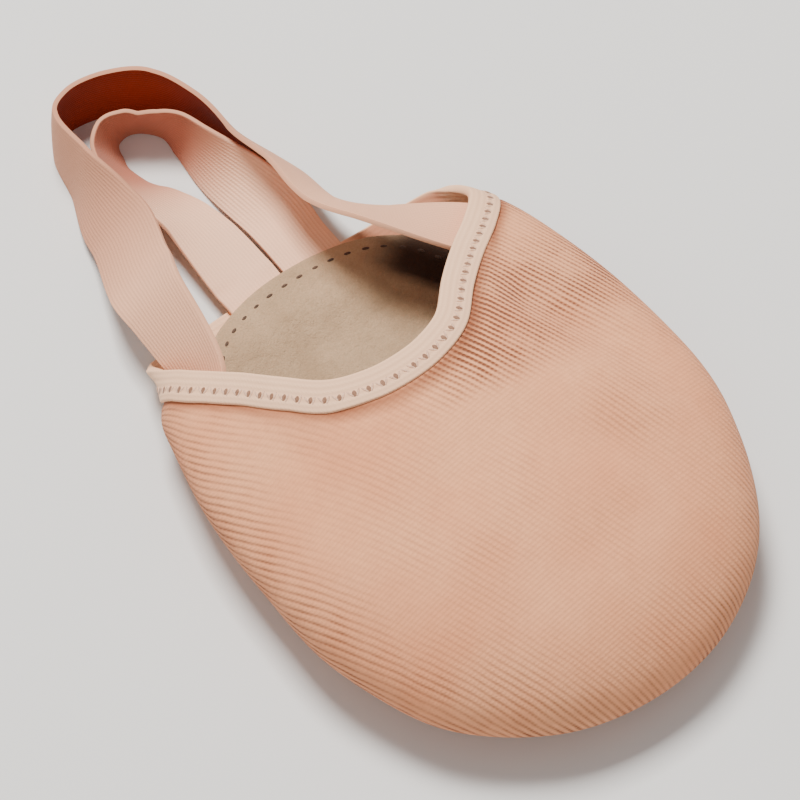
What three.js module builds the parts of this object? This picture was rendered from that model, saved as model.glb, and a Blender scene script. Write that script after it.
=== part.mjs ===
// Half-sole dance shoe for the left foot, in millimetres.
// The toe points to -Y, the lateral side is +X and the floor is z = 0.
// The origin is the centre of the sole pad's underside.
import * as THREE from 'three';

// Hood: overall sizes of the fabric upper
const HOOD_LENGTH = 112; // from the rear edge to the toe tip
const BALL_WIDTH = 92; // widest across the ball of the foot
const THROAT_HEIGHT = 37; // floor to the collar over the instep
const WALL = 1; // doubled stretch twill
const THROAT_SHIFT = 7; // the throat lies this far to the medial side
const SHIFT_START = 0.5; // share of the throat's height from which the collar is shifted

// Sole pad and insole
const PAD_LENGTH = 70;
const PAD_WIDTH = 64;
const PAD_THICKNESS = 1.8;
const PAD_REAR = 9.6; // margin of fabric behind the pad
const PAD_SLANT = 0.1; // the pad's toe end lies this much further forward per mm to the medial side
const RIM_WIDTH = 3.2; // stitched rim round the pad's fuller field
const RIM_STEP = 0.4; // the rim stands this much off the floor
const SEAM_OVERLAP = 6; // fabric sewn in under the pad's edge
const INSOLE_THICKNESS = 1;
const INSOLE_MARGIN = 9.1; // the insole reaches this far past the pad at the toe and at the rear

// Collar binding and elastic loops
const BINDING_WIDTH = 6;
const BINDING_THICKNESS = 1.9;
const STRAP_THICKNESS = 1;
const STRAP_TUCK = 5; // length of strap end sewn in behind an edge
const UPPER_STRAP_WIDTH = 14.5;
const UPPER_LOOP_REACH = 50; // rear edge to the back of the upper loop
const UPPER_LOOP_SPREAD = 34; // half-width between the collar's corners
const LOWER_STRAP_WIDTH = 12.5;
const LOWER_LOOP_REACH = 43.5; // rear edge to the back of the lower loop

// Gathers along the pad's toe edge
const PLEAT_COUNT = 11;
const PLEAT_HEIGHT = 1.5;
const PLEAT_RISE = 2.5; // distance past the pad in which a gather reaches its height
const PLEAT_LENGTH = 22;
const PLEAT_SPAN = 2.7; // stations to each side of the toe that the gathers cover

const CLEARANCE = 0.3; // between pieces that touch

// Heights of the layers under the foot, from the floor up
const WALL_BASE = PAD_THICKNESS + CLEARANCE;
const INSOLE_BASE = WALL_BASE + WALL + CLEARANCE;
const BINDING_PROUD = (BINDING_THICKNESS - WALL) / 2;
const TUCK_BASE = WALL_BASE + WALL + BINDING_PROUD + CLEARANCE;
const INSOLE_REAR_BASE = TUCK_BASE + STRAP_THICKNESS + CLEARANCE;

// The form of one half of the hood, from the toe round to the middle of the rear edge.
// pad, girth and collar: [forward, side, height] as shares of the length, half-width and height
// that they follow.
// crown: degrees of arch between girth and collar. flat: exponent of the turn under the foot.
// bend: 1 where the wall follows that arch, 0 where it runs straight to the rear edge.
// lining: reach of the insole past the pad, as a share of its margin.
const STATIONS = [
  { name: 'toe', crown: 78, flat: 2, bend: 1, lining: 1,
    pad: [1, 0], girth: [1, 0, 0.27], collar: [0.366, 0, 1] },
  { name: 'big toe', crown: 78, flat: 2, bend: 1, lining: 0.95,
    pad: [0.965, 0.46], girth: [0.965, 0.42, 0.28], collar: [0.36, 0.13, 0.995] },
  { name: 'toe corner', crown: 76, flat: 2.1, bend: 1, lining: 0.7,
    pad: [0.86, 0.82], girth: [0.85, 0.77, 0.31], collar: [0.335, 0.265, 0.965] },
  { name: 'ball', crown: 72, flat: 2.3, bend: 1, lining: 0.45,
    pad: [0.68, 0.98], girth: [0.67, 0.965, 0.36], collar: [0.275, 0.39, 0.875] },
  { name: 'waist', crown: 64, flat: 2.4, bend: 1, lining: 0.45,
    pad: [0.48, 0.985], girth: [0.49, 0.995, 0.38], collar: [0.22, 0.5, 0.765] },
  { name: 'side', crown: 54, flat: 2.5, bend: 1, lining: 0.65,
    pad: [0.29, 0.81], girth: [0.31, 0.955, 0.36], collar: [0.17, 0.61, 0.65] },
  { name: 'corner', crown: 44, flat: 2.6, bend: 1, lining: 1.1,
    pad: [0.15, 0.58], girth: [0.155, 0.865, 0.3], collar: [0.12, 0.705, 0.54] },
  { name: 'rear side', crown: 40, flat: 2.6, bend: 0.85, lining: 1.4,
    pad: [0.075, 0.4], girth: [0.11, 0.81, 0.19], collar: [0.055, 0.735, 0.31] },
  { name: 'rear corner', crown: 30, flat: 2.6, bend: 0.4, lining: 1.45,
    pad: [0.035, 0.27], girth: [0.065, 0.71, 0.1], collar: [0.018, 0.685, 0.125] },
  { name: 'rear', crown: 30, flat: 2.6, bend: 0, lining: 1.3,
    pad: [0.008, 0.13], girth: [0.036, 0.36, 0.055], collar: [0.003, 0.4, 0.055] },
  { name: 'rear middle', crown: 30, flat: 2.6, bend: 0, lining: 1,
    pad: [0, 0], girth: [0.036, 0, 0.055], collar: [0, 0, 0.055] },
];
const LAST = STATIONS.length - 1;

// Catmull-Rom value of one column of the table; a place past either end is mirrored
function column(read, place, odd) {
  const at = (index) => {
    if (index < 0) return odd ? -read(STATIONS[-index]) : read(STATIONS[-index]);
    if (index > LAST) return odd ? -read(STATIONS[2 * LAST - index]) : read(STATIONS[2 * LAST - index]);
    return read(STATIONS[index]);
  };
  const index = Math.min(Math.floor(place), LAST - 1);
  const t = place - index;
  const [a, b, c, d] = [at(index - 1), at(index), at(index + 1), at(index + 2)];
  return b + 0.5 * t * (c - a + t * (2 * a - 5 * b + 4 * c - d + t * (3 * (b - c) + d - a)));
}

const UP = new THREE.Vector3(0, 0, 1);

// A point of the ground plan, from its distance forward of the rear edge and its distance to the side
function planPoint(forward, side) {
  return new THREE.Vector3(side, PAD_REAR + PAD_LENGTH / 2 - forward, 0);
}

// station: 0 at the toe, rising along the lateral side to LAST at the rear, and on round to 2 * LAST
function form(station) {
  const place = station > LAST ? 2 * LAST - station : station;
  const half = station > LAST ? -1 / 2 : 1 / 2;
  const get = (key, axis) => column((row) => row[key][axis], place, axis === 1);
  const pad = planPoint(PAD_REAR + PAD_LENGTH * get('pad', 0), half * PAD_WIDTH * get('pad', 1));
  pad.y += PAD_SLANT * pad.x * get('pad', 0);
  const girth = planPoint(HOOD_LENGTH * get('girth', 0), half * BALL_WIDTH * get('girth', 1));
  girth.z = THROAT_HEIGHT * get('girth', 2);
  const collar = planPoint(HOOD_LENGTH * get('collar', 0), half * BALL_WIDTH * get('collar', 1));
  collar.x -= THROAT_SHIFT * smooth(get('collar', 2), SHIFT_START, 1);
  collar.z = THROAT_HEIGHT * get('collar', 2);
  const crown = THREE.MathUtils.degToRad(column((row) => row.crown, place));
  const flat = column((row) => row.flat, place);
  const bend = THREE.MathUtils.clamp(column((row) => row.bend, place), 0, 1);
  const lining = INSOLE_MARGIN * column((row) => row.lining, place);
  return { pad, girth, collar, crown, flat, bend, lining };
}

function smooth(value, from, to) {
  return THREE.MathUtils.smoothstep(value, from, to);
}

// Cross curve of the wall's outer face from the seam under the pad, over the girth, to the collar's edge
const CURVE_STEPS = 48;

function crossCurve(station) {
  const { pad, girth, collar, crown, flat, bend, lining } = form(station);
  const mouth = pad.clone().addScaledVector(pad.clone().normalize(), -SEAM_OVERLAP);
  mouth.z = WALL_BASE;
  girth.z = Math.max(girth.z, WALL_BASE);
  collar.z = Math.max(collar.z, WALL_BASE);
  const points = [];
  for (let i = 0; i <= CURVE_STEPS; i += 1) {
    const turn = (i / CURVE_STEPS) * (Math.PI / 2);
    const across = Math.pow(Math.sin(turn), 2 / flat);
    const rise = 1 - Math.pow(Math.cos(turn), 2 / flat);
    const point = mouth.clone().lerp(girth, across);
    point.z = THREE.MathUtils.lerp(mouth.z, girth.z, rise);
    points.push(point);
  }
  for (let i = 1; i <= CURVE_STEPS; i += 1) {
    const turn = (i / CURVE_STEPS) * crown;
    const across = (1 - Math.cos(turn)) / (1 - Math.cos(crown));
    const rise = Math.sin(turn) / Math.sin(crown);
    const point = girth.clone().lerp(collar, across);
    point.z = THREE.MathUtils.lerp(girth.z, collar.z, rise);
    points.push(point);
  }
  points.forEach((point, i) => {
    const straight = mouth.clone().lerp(collar, i / (points.length - 1));
    point.lerp(straight, 1 - bend);
  });
  return { points, mouth, lining };
}

// The same curve measured by its length, so that rows can be placed in millimetres along it
function measuredCurve(station) {
  const { points, mouth, lining } = crossCurve(station);
  const lengths = [0];
  for (let i = 1; i < points.length; i += 1) {
    lengths.push(lengths[i - 1] + points[i].distanceTo(points[i - 1]));
  }
  const length = lengths[lengths.length - 1];
  const at = (distance) => {
    const wanted = THREE.MathUtils.clamp(distance, 0, length);
    let i = 1;
    while (i < lengths.length - 1 && lengths[i] < wanted) i += 1;
    const t = (wanted - lengths[i - 1]) / (lengths[i] - lengths[i - 1]);
    return points[i - 1].clone().lerp(points[i], t);
  };
  // distances of rows between two places that lie closer together where the curve bends
  const rows = (count, start, end) => {
    const first = lengths.findIndex((value) => value >= start);
    const stretch = (end - start) / (length - lengths[first]);
    const step = (lengths.length - 1 - first) / count;
    const share = (i) => lengths[Math.round(first + i * step)] - lengths[first];
    return Array.from({ length: count + 1 }, (_, i) => start + stretch * share(i));
  };
  return { at, length, rows, mouth, lining };
}

const curveCache = new Map();
function curveAt(station) {
  const wrapped = THREE.MathUtils.euclideanModulo(station, 2 * LAST);
  const key = wrapped.toFixed(6);
  if (!curveCache.has(key)) curveCache.set(key, measuredCurve(wrapped));
  return curveCache.get(key);
}

// Point of the hood's outer face, its outward normal and its two directions
const NORMAL_STEP = 0.4; // millimetres along the cross curve
const STATION_STEP = 0.08; // stations along the hood
function surface(station, distance) {
  const curve = curveAt(station);
  const point = curve.at(distance);
  const before = curve.at(Math.max(distance - NORMAL_STEP, 0));
  const after = curve.at(Math.min(distance + NORMAL_STEP, curve.length));
  const along = after.sub(before).normalize();
  const share = distance / curve.length;
  const left = curveAt(station - STATION_STEP);
  const right = curveAt(station + STATION_STEP);
  const around = right.at(share * right.length).sub(left.at(share * left.length)).normalize();
  const normal = around.clone().cross(along).normalize();
  return { point, normal, along, around };
}

// Distance along the cross curve at which it is a given width inside the collar's edge, square to that edge
const LEAST_SQUARE = 0.45; // keeps the distance in bounds where the curve runs almost along the edge
function insideEdge(station, width) {
  const { length } = curveAt(station);
  const { along, around } = surface(station, length);
  const square = Math.max(along.cross(around).length(), LEAST_SQUARE);
  return length - width / square;
}

// Stations round the hood, closer together where the gathers are
const PLEAT_STEPS = 4;
const PLAIN_STEPS = 4;
function stationList() {
  const gathered = PLEAT_COUNT * PLEAT_STEPS;
  const plain = Math.round((2 * LAST - 2 * PLEAT_SPAN) * PLAIN_STEPS);
  const list = [];
  for (let i = 0; i < gathered; i += 1) {
    list.push(-PLEAT_SPAN + (2 * PLEAT_SPAN * i) / gathered);
  }
  for (let i = 0; i < plain; i += 1) {
    list.push(PLEAT_SPAN + ((2 * LAST - 2 * PLEAT_SPAN) * i) / plain);
  }
  return list;
}

// Height of the gathers on the outer face
function pleat(station, distance) {
  const turned = station > LAST ? station - 2 * LAST : station;
  if (Math.abs(turned) >= PLEAT_SPAN) return 0;
  const beyond = distance - SEAM_OVERLAP;
  const wave = 0.5 - 0.5 * Math.cos((Math.PI * PLEAT_COUNT * (turned + PLEAT_SPAN)) / PLEAT_SPAN);
  const fade = smooth(beyond, CLEARANCE, PLEAT_RISE) * (1 - smooth(beyond, PLEAT_RISE, PLEAT_LENGTH));
  const edge = smooth(PLEAT_SPAN - Math.abs(turned), 0, 1);
  return PLEAT_HEIGHT * wave * fade * edge;
}

// Closed mesh from rings of equal length
// round: the last ring joins the first, otherwise both ends are capped
function ringSolid(rings, round) {
  const size = rings[0].length;
  const positions = rings.flat().flatMap((point) => [point.x, point.y, point.z]);
  const index = [];
  const ringCount = round ? rings.length : rings.length - 1;
  for (let i = 0; i < ringCount; i += 1) {
    const a = i * size;
    const b = ((i + 1) % rings.length) * size;
    for (let j = 0; j < size; j += 1) {
      const k = (j + 1) % size;
      index.push(a + j, a + k, b + j, a + k, b + k, b + j);
    }
  }
  if (!round) {
    const ends = [[rings[0], 0, true], [rings.at(-1), size * (rings.length - 1), false]];
    for (const [ring, start, flip] of ends) {
      const middle = ring.reduce((sum, point) => sum.add(point), new THREE.Vector3()).divideScalar(size);
      const hub = positions.length / 3;
      positions.push(middle.x, middle.y, middle.z);
      for (let j = 0; j < size; j += 1) {
        const k = (j + 1) % size;
        if (flip) index.push(hub, start + k, start + j);
        else index.push(hub, start + j, start + k);
      }
    }
  }
  const geometry = new THREE.BufferGeometry();
  geometry.setAttribute('position', new THREE.Float32BufferAttribute(positions, 3));
  geometry.setIndex(index);
  if (volume(geometry) < 0) {
    for (let i = 0; i < index.length; i += 3) [index[i], index[i + 1]] = [index[i + 1], index[i]];
    geometry.setIndex(index);
  }
  geometry.computeVertexNormals();
  return geometry;
}

function volume(geometry) {
  const position = geometry.getAttribute('position');
  const index = geometry.getIndex();
  const [a, b, c] = [new THREE.Vector3(), new THREE.Vector3(), new THREE.Vector3()];
  let sum = 0;
  for (let i = 0; i < index.count; i += 3) {
    a.fromBufferAttribute(position, index.getX(i));
    b.fromBufferAttribute(position, index.getX(i + 1));
    c.fromBufferAttribute(position, index.getX(i + 2));
    sum += a.dot(b.cross(c));
  }
  return sum;
}

// Upper: outer face with gathers, inner face one wall inside, joined at the seam and at the collar
const OUTER_ROWS = 20;
const INNER_ROWS = 9;
const PAD_EDGE_LIMIT = 0.5; // shares of the wall's length that keep the first rows in order where it is short
const PLEAT_TOP_LIMIT = 0.75;
function upperGeometry() {
  const rings = stationList().map((station) => {
    const { rows } = curveAt(station);
    const end = insideEdge(station, BINDING_WIDTH + CLEARANCE);
    const padEdge = Math.min(SEAM_OVERLAP + CLEARANCE, PAD_EDGE_LIMIT * end);
    const pleatTop = Math.min(SEAM_OVERLAP + PLEAT_RISE, PLEAT_TOP_LIMIT * end);
    const outside = [0, padEdge, ...rows(OUTER_ROWS, pleatTop, end)].map((distance) => {
      const { point, normal } = surface(station, distance);
      return point.addScaledVector(normal, pleat(station, distance));
    });
    const inside = [0, ...rows(INNER_ROWS, padEdge, end)].map((distance) => {
      const { point, normal } = surface(station, distance);
      return point.addScaledVector(normal, -WALL);
    });
    return [...outside, ...inside.reverse()];
  });
  return ringSolid(rings, true);
}

// Collar binding: a folded tape with rounded long edges that carries the wall on to the collar's edge
const BINDING_PROFILE = [[0, -1], [0.9, -1], [1, -0.4], [1, 0.4], [0.9, 1], [0, 1]];
function bindingGeometry() {
  const rings = stationList().map((station) => {
    return BINDING_PROFILE.map(([across, out]) => {
      const distance = insideEdge(station, BINDING_WIDTH * (1 - across));
      const { point, normal } = surface(station, distance);
      return point.addScaledVector(normal, -WALL / 2 + (out * BINDING_THICKNESS) / 2);
    });
  });
  return ringSolid(rings, true);
}

// Closed outline of the pad, at a distance inside its edge
const OUTLINE_STEPS = 60;
function padOutline(inset, height) {
  const ring = [];
  for (let i = 0; i < OUTLINE_STEPS; i += 1) {
    const { pad } = form((2 * LAST * i) / OUTLINE_STEPS);
    const reach = Math.hypot(pad.x, pad.y);
    const point = pad.multiplyScalar((reach - inset) / reach);
    point.z = height;
    ring.push(point);
  }
  return ring;
}

const EDGE_SOFTNESS = 0.3; // rounding of the pad's edges
function padGeometry() {
  return ringSolid([
    padOutline(RIM_WIDTH + EDGE_SOFTNESS, 0),
    padOutline(RIM_WIDTH, EDGE_SOFTNESS * RIM_STEP),
    padOutline(RIM_WIDTH - EDGE_SOFTNESS, RIM_STEP),
    padOutline(EDGE_SOFTNESS, RIM_STEP),
    padOutline(0, RIM_STEP + EDGE_SOFTNESS),
    padOutline(0, PAD_THICKNESS - EDGE_SOFTNESS),
    padOutline(EDGE_SOFTNESS, PAD_THICKNESS),
  ], false);
}

// Insole: follows the inside of the wall, and rides up over the strap ends at the rear
const LIFT_START = 2; // past the binding, where the insole starts to sink to the wall
const LIFT_LENGTH = 10;
const EDGE_MARGIN = 0.5; // the insole ends at least this far from the collar's edge
const FLAT_SHARES = [0.5, 1]; // rings of the flat part, as shares of the way out to the seam
const RISING_SHARES = [0.25, 0.5, 0.75, 1]; // rings on the wall, as shares of the insole's reach

function insoleLift(point) {
  const forward = PAD_REAR + PAD_LENGTH / 2 - point.y - BINDING_WIDTH;
  return (INSOLE_REAR_BASE - INSOLE_BASE) * (1 - smooth(forward, LIFT_START, LIFT_START + LIFT_LENGTH));
}

// A ring of the insole: share of the way out over the flat part, then share of its reach up the wall
function insoleRing(flatShare, risingShare, depth) {
  return Array.from({ length: OUTLINE_STEPS }, (_, i) => {
    const station = (2 * LAST * i) / OUTLINE_STEPS;
    const { mouth, length, lining } = curveAt(station);
    const reach = Math.min(SEAM_OVERLAP + lining, length - EDGE_MARGIN);
    const rising = surface(station, reach * risingShare);
    const point = risingShare > 0 ? rising.point : mouth.clone();
    const normal = risingShare > 0 ? rising.normal : UP.clone().negate();
    point.x *= flatShare;
    point.y *= flatShare;
    const lifted = insoleLift(point);
    point.addScaledVector(normal, -depth);
    point.z += lifted;
    return point;
  });
}

function insoleGeometry() {
  const shares = [...FLAT_SHARES.map((share) => [share, 0]), ...RISING_SHARES.map((share) => [1, share])];
  const base = WALL + CLEARANCE;
  const under = shares.map(([flat, rising]) => insoleRing(flat, rising, base));
  const over = shares.map(([flat, rising]) => insoleRing(flat, rising, base + INSOLE_THICKNESS));
  return ringSolid([...under, ...over.reverse()], false);
}

// Elastic loops: a flat tape through rows that give the place of its middle and its lean.
// lean: degrees that the upper edge leans out of the loop. A row without a height stands on the floor.
const TAPE_STEPS = 5;

function tape(rows, width) {
  const resting = (lean) => (width * Math.cos(lean) + STRAP_THICKNESS * Math.abs(Math.sin(lean))) / 2;
  for (const row of rows) {
    if (row.lean !== undefined) row.place.z = row.height ?? resting(THREE.MathUtils.degToRad(row.lean));
  }
  const middle = new THREE.CatmullRomCurve3(rows.map((row) => row.place), false, 'centripetal');
  const across = rows.map((row, i) => {
    if (row.across) return row.across;
    const lean = THREE.MathUtils.degToRad(row.lean);
    const outward = middle.getTangent(i / (rows.length - 1)).cross(UP).normalize();
    return UP.clone().multiplyScalar(Math.cos(lean)).addScaledVector(outward, Math.sin(lean));
  });
  const edge = new THREE.CatmullRomCurve3(across, false, 'centripetal');
  const steps = (rows.length - 1) * TAPE_STEPS;
  const rings = [];
  for (let i = 0; i <= steps; i += 1) {
    const centre = middle.getPoint(i / steps);
    const along = middle.getTangent(i / steps);
    const side = edge.getPoint(i / steps);
    side.addScaledVector(along, -side.dot(along)).normalize();
    const out = along.clone().cross(side);
    const ring = [[-1, -1], [1, -1], [1, 1], [-1, 1]].map(([w, h]) => centre.clone()
      .addScaledVector(side, (w * width) / 2).addScaledVector(out, (h * STRAP_THICKNESS) / 2));
    const lowest = Math.min(...ring.map((point) => point.z));
    for (const point of ring) point.z -= Math.min(lowest, 0);
    rings.push(ring);
  }
  return ringSolid(rings, false);
}

// End of a tape that is sewn to the inside of the collar
function collarEnd({ station, off }, depth, sign) {
  const { point, normal, around } = surface(station, curveAt(station).length - depth);
  const inside = (WALL + BINDING_THICKNESS + STRAP_THICKNESS) / 2 + off;
  return { place: point.addScaledVector(normal, -inside), across: around.multiplyScalar(sign) };
}

// back: share of the reach behind the rear edge, side: share of the spread, height: share of the tape's width
const UPPER_LOOP_ROWS = [
  { back: -0.12, side: 0.47, height: 1.3, lean: -45 },
  { back: 0.1, side: 0.37, height: 0.9, lean: -38 },
  { back: 0.34, side: 0.37, height: 0.66, lean: -32 },
  { back: 0.54, side: 0.31, lean: -22 },
  { back: 0.74, side: 0.23, lean: -8 },
  { back: 0.9, side: 0.1, lean: 0 },
  { back: 1, side: -0.12, lean: 0 },
  { back: 1.02, side: -0.36, lean: 0 },
  { back: 0.96, side: -0.5, lean: 0 },
  { back: 0.76, side: -0.54, lean: -12 },
  { back: 0.56, side: -0.575, height: 0.52, lean: -40 },
  { back: 0.44, side: -0.595, height: 0.585, lean: -50 },
  { back: 0.26, side: -0.69, height: 0.72, lean: -52 },
  { back: 0.07, side: -0.785, height: 1.12, lean: -41 },
];
// station at which each end is sewn in, and how far the flat end stands off the curved collar there
const UPPER_LOOP_ENDS = {
  lateral: { station: 5.2, off: 6 * CLEARANCE },
  medial: { station: 2 * LAST - 6.1, off: 9 * CLEARANCE },
};

function loopRow({ back, side, height, lean }, reach, spread, width) {
  return { place: planPoint(-back * reach, side * spread), height: height && height * width, lean };
}

function upperLoopGeometry() {
  const { lateral, medial } = UPPER_LOOP_ENDS;
  return tape([
    collarEnd(lateral, STRAP_TUCK, -1),
    collarEnd(lateral, 0, -1),
    ...UPPER_LOOP_ROWS.map((row) => loopRow(row, UPPER_LOOP_REACH, UPPER_LOOP_SPREAD, UPPER_STRAP_WIDTH)),
    collarEnd(medial, 0, 1),
    collarEnd(medial, STRAP_TUCK, 1),
  ], UPPER_STRAP_WIDTH);
}

// side: share of the distance of a strap end's middle from the shoe's centre line
const LOWER_LOOP_ROWS = [
  { back: 0.1, side: 1, height: 0.345, lean: 90 },
  { back: 0.28, side: 1.04, height: 0.35, lean: 72 },
  { back: 0.44, side: 0.87, height: 0.39, lean: 52 },
  { back: 0.57, side: 0.65, height: 0.44, lean: 34 },
  { back: 0.69, side: 0.48, lean: 18 },
  { back: 0.81, side: 0.35, lean: 5 },
  { back: 0.9, side: 0.1, lean: -12 },
  { back: 0.965, side: -0.42, lean: -17 },
  { back: 0.985, side: -0.96, lean: -4 },
  { back: 0.96, side: -1.4, lean: 19 },
  { back: 0.905, side: -1.7, lean: 31 },
  { back: 0.83, side: -1.8, lean: 37 },
  { back: 0.74, side: -1.72, height: 0.39, lean: 43 },
  { back: 0.64, side: -1.54, height: 0.42, lean: 52 },
  { back: 0.55, side: -1.3, height: 0.4, lean: 60 },
  { back: 0.45, side: -1.08, height: 0.37, lean: 68 },
  { back: 0.33, side: -1, height: 0.35, lean: 78 },
  { back: 0.1, side: -1, height: 0.345, lean: 90 },
];

function lowerLoopGeometry() {
  const endSide = LOWER_STRAP_WIDTH / 2 + CLEARANCE;
  const endHeight = TUCK_BASE + STRAP_THICKNESS / 2;
  const sewn = (forward, sign) => {
    return { place: planPoint(forward, sign * endSide), height: endHeight, lean: 90 };
  };
  return tape([
    sewn(STRAP_TUCK, 1),
    sewn(0, 1),
    ...LOWER_LOOP_ROWS.map((row) => loopRow(row, LOWER_LOOP_REACH, endSide, LOWER_STRAP_WIDTH)),
    sewn(0, -1),
    sewn(STRAP_TUCK, -1),
  ], LOWER_STRAP_WIDTH);
}

function piece(name, geometry, colour, roughness) {
  const material = new THREE.MeshStandardMaterial({ color: colour, roughness, metalness: 0 });
  const mesh = new THREE.Mesh(geometry, material);
  mesh.name = name;
  return mesh;
}

const shoe = new THREE.Group();
shoe.add(
  piece('upper', upperGeometry(), '#daae98', 0.8),
  piece('collar_binding', bindingGeometry(), '#ebcfbf', 0.7),
  piece('sole_pad', padGeometry(), '#a58e70', 0.95),
  piece('insole', insoleGeometry(), '#a88c70', 0.95),
  piece('heel_loop_upper', upperLoopGeometry(), '#ebcdbc', 0.7),
  piece('heel_loop_lower', lowerLoopGeometry(), '#ebcdbc', 0.7),
);

export default shoe;
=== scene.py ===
"""A half-sole dance shoe for the left foot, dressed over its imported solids.

The shoe stands on the floor at z = 0 with its toe towards -Y and its lateral side towards +X.
Sizes of the shoe are in millimetres, as on a pattern card, and become metres where a mesh is laid.
"""
import logging
import math
from dataclasses import dataclass, field
from enum import Enum
from typing import Callable, Iterable, Optional, Sequence

import bpy
from mathutils import Matrix, Vector, kdtree, noise


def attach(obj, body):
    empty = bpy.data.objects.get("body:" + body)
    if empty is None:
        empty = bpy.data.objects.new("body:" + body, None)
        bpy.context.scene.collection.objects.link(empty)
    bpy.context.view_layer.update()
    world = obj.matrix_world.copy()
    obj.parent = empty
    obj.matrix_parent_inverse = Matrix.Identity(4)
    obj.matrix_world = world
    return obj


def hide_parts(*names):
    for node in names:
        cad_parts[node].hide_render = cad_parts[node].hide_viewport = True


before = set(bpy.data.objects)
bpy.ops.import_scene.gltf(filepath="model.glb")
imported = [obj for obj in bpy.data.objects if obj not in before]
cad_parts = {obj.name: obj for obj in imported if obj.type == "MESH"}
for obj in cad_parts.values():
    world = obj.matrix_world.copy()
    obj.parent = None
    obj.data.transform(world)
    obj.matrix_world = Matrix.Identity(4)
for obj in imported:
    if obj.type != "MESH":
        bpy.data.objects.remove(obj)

log = logging.getLogger("dance_shoe")
MM = 0.001
UP = Vector((0.0, 0.0, 1.0))
Place = Callable[[float, float], Vector]
Chart = Callable[[float, float], tuple[float, float]]
Colour = tuple[float, float, float]
LoopRow = tuple[float, float, Optional[float], float]
Piece = bpy.types.Object
Finish = bpy.types.Material
Socket = bpy.types.NodeSocket


class Rolled(Enum):
    """How the edges of a laid grid meet."""

    OPEN = "open"
    RING = "ring"
    TUBE = "tube"


def smooth(value: float, start: float, end: float) -> float:
    """Smoothstep of a value between two limits."""
    share = min(max((value - start) / (end - start), 0.0), 1.0)
    return share * share * (3.0 - 2.0 * share)


def hill(value: float, width: float) -> float:
    """A bell of height 1 that fades over a width."""
    return math.exp(-((value / width) ** 2))


def plain_chart(around: float, over: float) -> tuple[float, float]:
    """Place on a flat piece of suede, in millimetres; its finish doesn't follow it."""
    return around * 200.0, over * 60.0


# Form of the hood


@dataclass(frozen=True)
class Station:
    """One section of the hood's half outline, as shares of the main sizes.

    pad, girth and collar are [forward, side, height]; crown is in degrees.
    """

    pad: tuple[float, float]
    girth: tuple[float, float, float]
    collar: tuple[float, float, float]
    crown: float
    flat: float
    bend: float
    lining: float


STATIONS: tuple[Station, ...] = (
    Station((1, 0), (1, 0, 0.27), (0.366, 0, 1), 78, 2, 1, 1),
    Station((0.965, 0.46), (0.965, 0.42, 0.28), (0.36, 0.13, 0.995), 78, 2, 1, 0.95),
    Station((0.86, 0.82), (0.85, 0.77, 0.31), (0.335, 0.265, 0.965), 76, 2.1, 1, 0.7),
    Station((0.68, 0.98), (0.67, 0.965, 0.36), (0.275, 0.39, 0.875), 72, 2.3, 1, 0.45),
    Station((0.48, 0.985), (0.49, 0.995, 0.38), (0.22, 0.5, 0.765), 64, 2.4, 1, 0.45),
    Station((0.29, 0.81), (0.31, 0.955, 0.36), (0.17, 0.61, 0.65), 54, 2.5, 1, 0.65),
    Station((0.15, 0.58), (0.155, 0.865, 0.3), (0.12, 0.705, 0.54), 44, 2.6, 1, 1.1),
    Station((0.075, 0.4), (0.11, 0.81, 0.19), (0.055, 0.735, 0.31), 40, 2.6, 0.85, 1.4),
    Station((0.035, 0.27), (0.065, 0.71, 0.1), (0.018, 0.685, 0.125), 30, 2.6, 0.4, 1.45),
    Station((0.008, 0.13), (0.036, 0.36, 0.055), (0.003, 0.4, 0.055), 30, 2.6, 0, 1.3),
    Station((0, 0), (0.036, 0, 0.055), (0, 0, 0.055), 30, 2.6, 0, 1),
)
LAST = len(STATIONS) - 1


@dataclass
class Curve:
    """One cross curve of the hood's outer face, measured along its length."""

    points: list[Vector]
    mouth: Vector
    lining: float
    lengths: list[float] = field(default_factory=lambda: [0.0])

    def __post_init__(self) -> None:
        """Measures the curve."""
        for before, after in zip(self.points, self.points[1:]):
            self.lengths.append(self.lengths[-1] + (after - before).length)

    @property
    def length(self) -> float:
        """Whole length from the seam to the collar's edge."""
        return self.lengths[-1]

    def at(self, distance: float) -> Vector:
        """Point at a distance from the seam.

        Args:
            distance: millimetres along the curve, held between its two ends.

        Returns:
            The point, in millimetres.
        """
        wanted = min(max(distance, 0.0), self.length)
        low, high = 1, len(self.lengths) - 1
        while low < high:
            middle = (low + high) // 2
            if self.lengths[middle] < wanted:
                low = middle + 1
            else:
                high = middle
        run = self.lengths[low] - self.lengths[low - 1]
        share = (wanted - self.lengths[low - 1]) / run if run > 0 else 0.0
        return self.points[low - 1].lerp(self.points[low], share)

    def row(self, share: float, start: float, end: float) -> float:
        """Distance of a row between two places, denser where the curve bends."""
        steps = len(self.lengths) - 1
        first = next(i for i, value in enumerate(self.lengths) if value >= start)
        place = first + share * (steps - first)
        low = min(int(place), steps - 1)
        value = self.lengths[low] + (place - low) * (self.lengths[low + 1] - self.lengths[low])
        stretch = (end - start) / (self.length - self.lengths[first])
        return start + stretch * (value - self.lengths[first])


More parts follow.
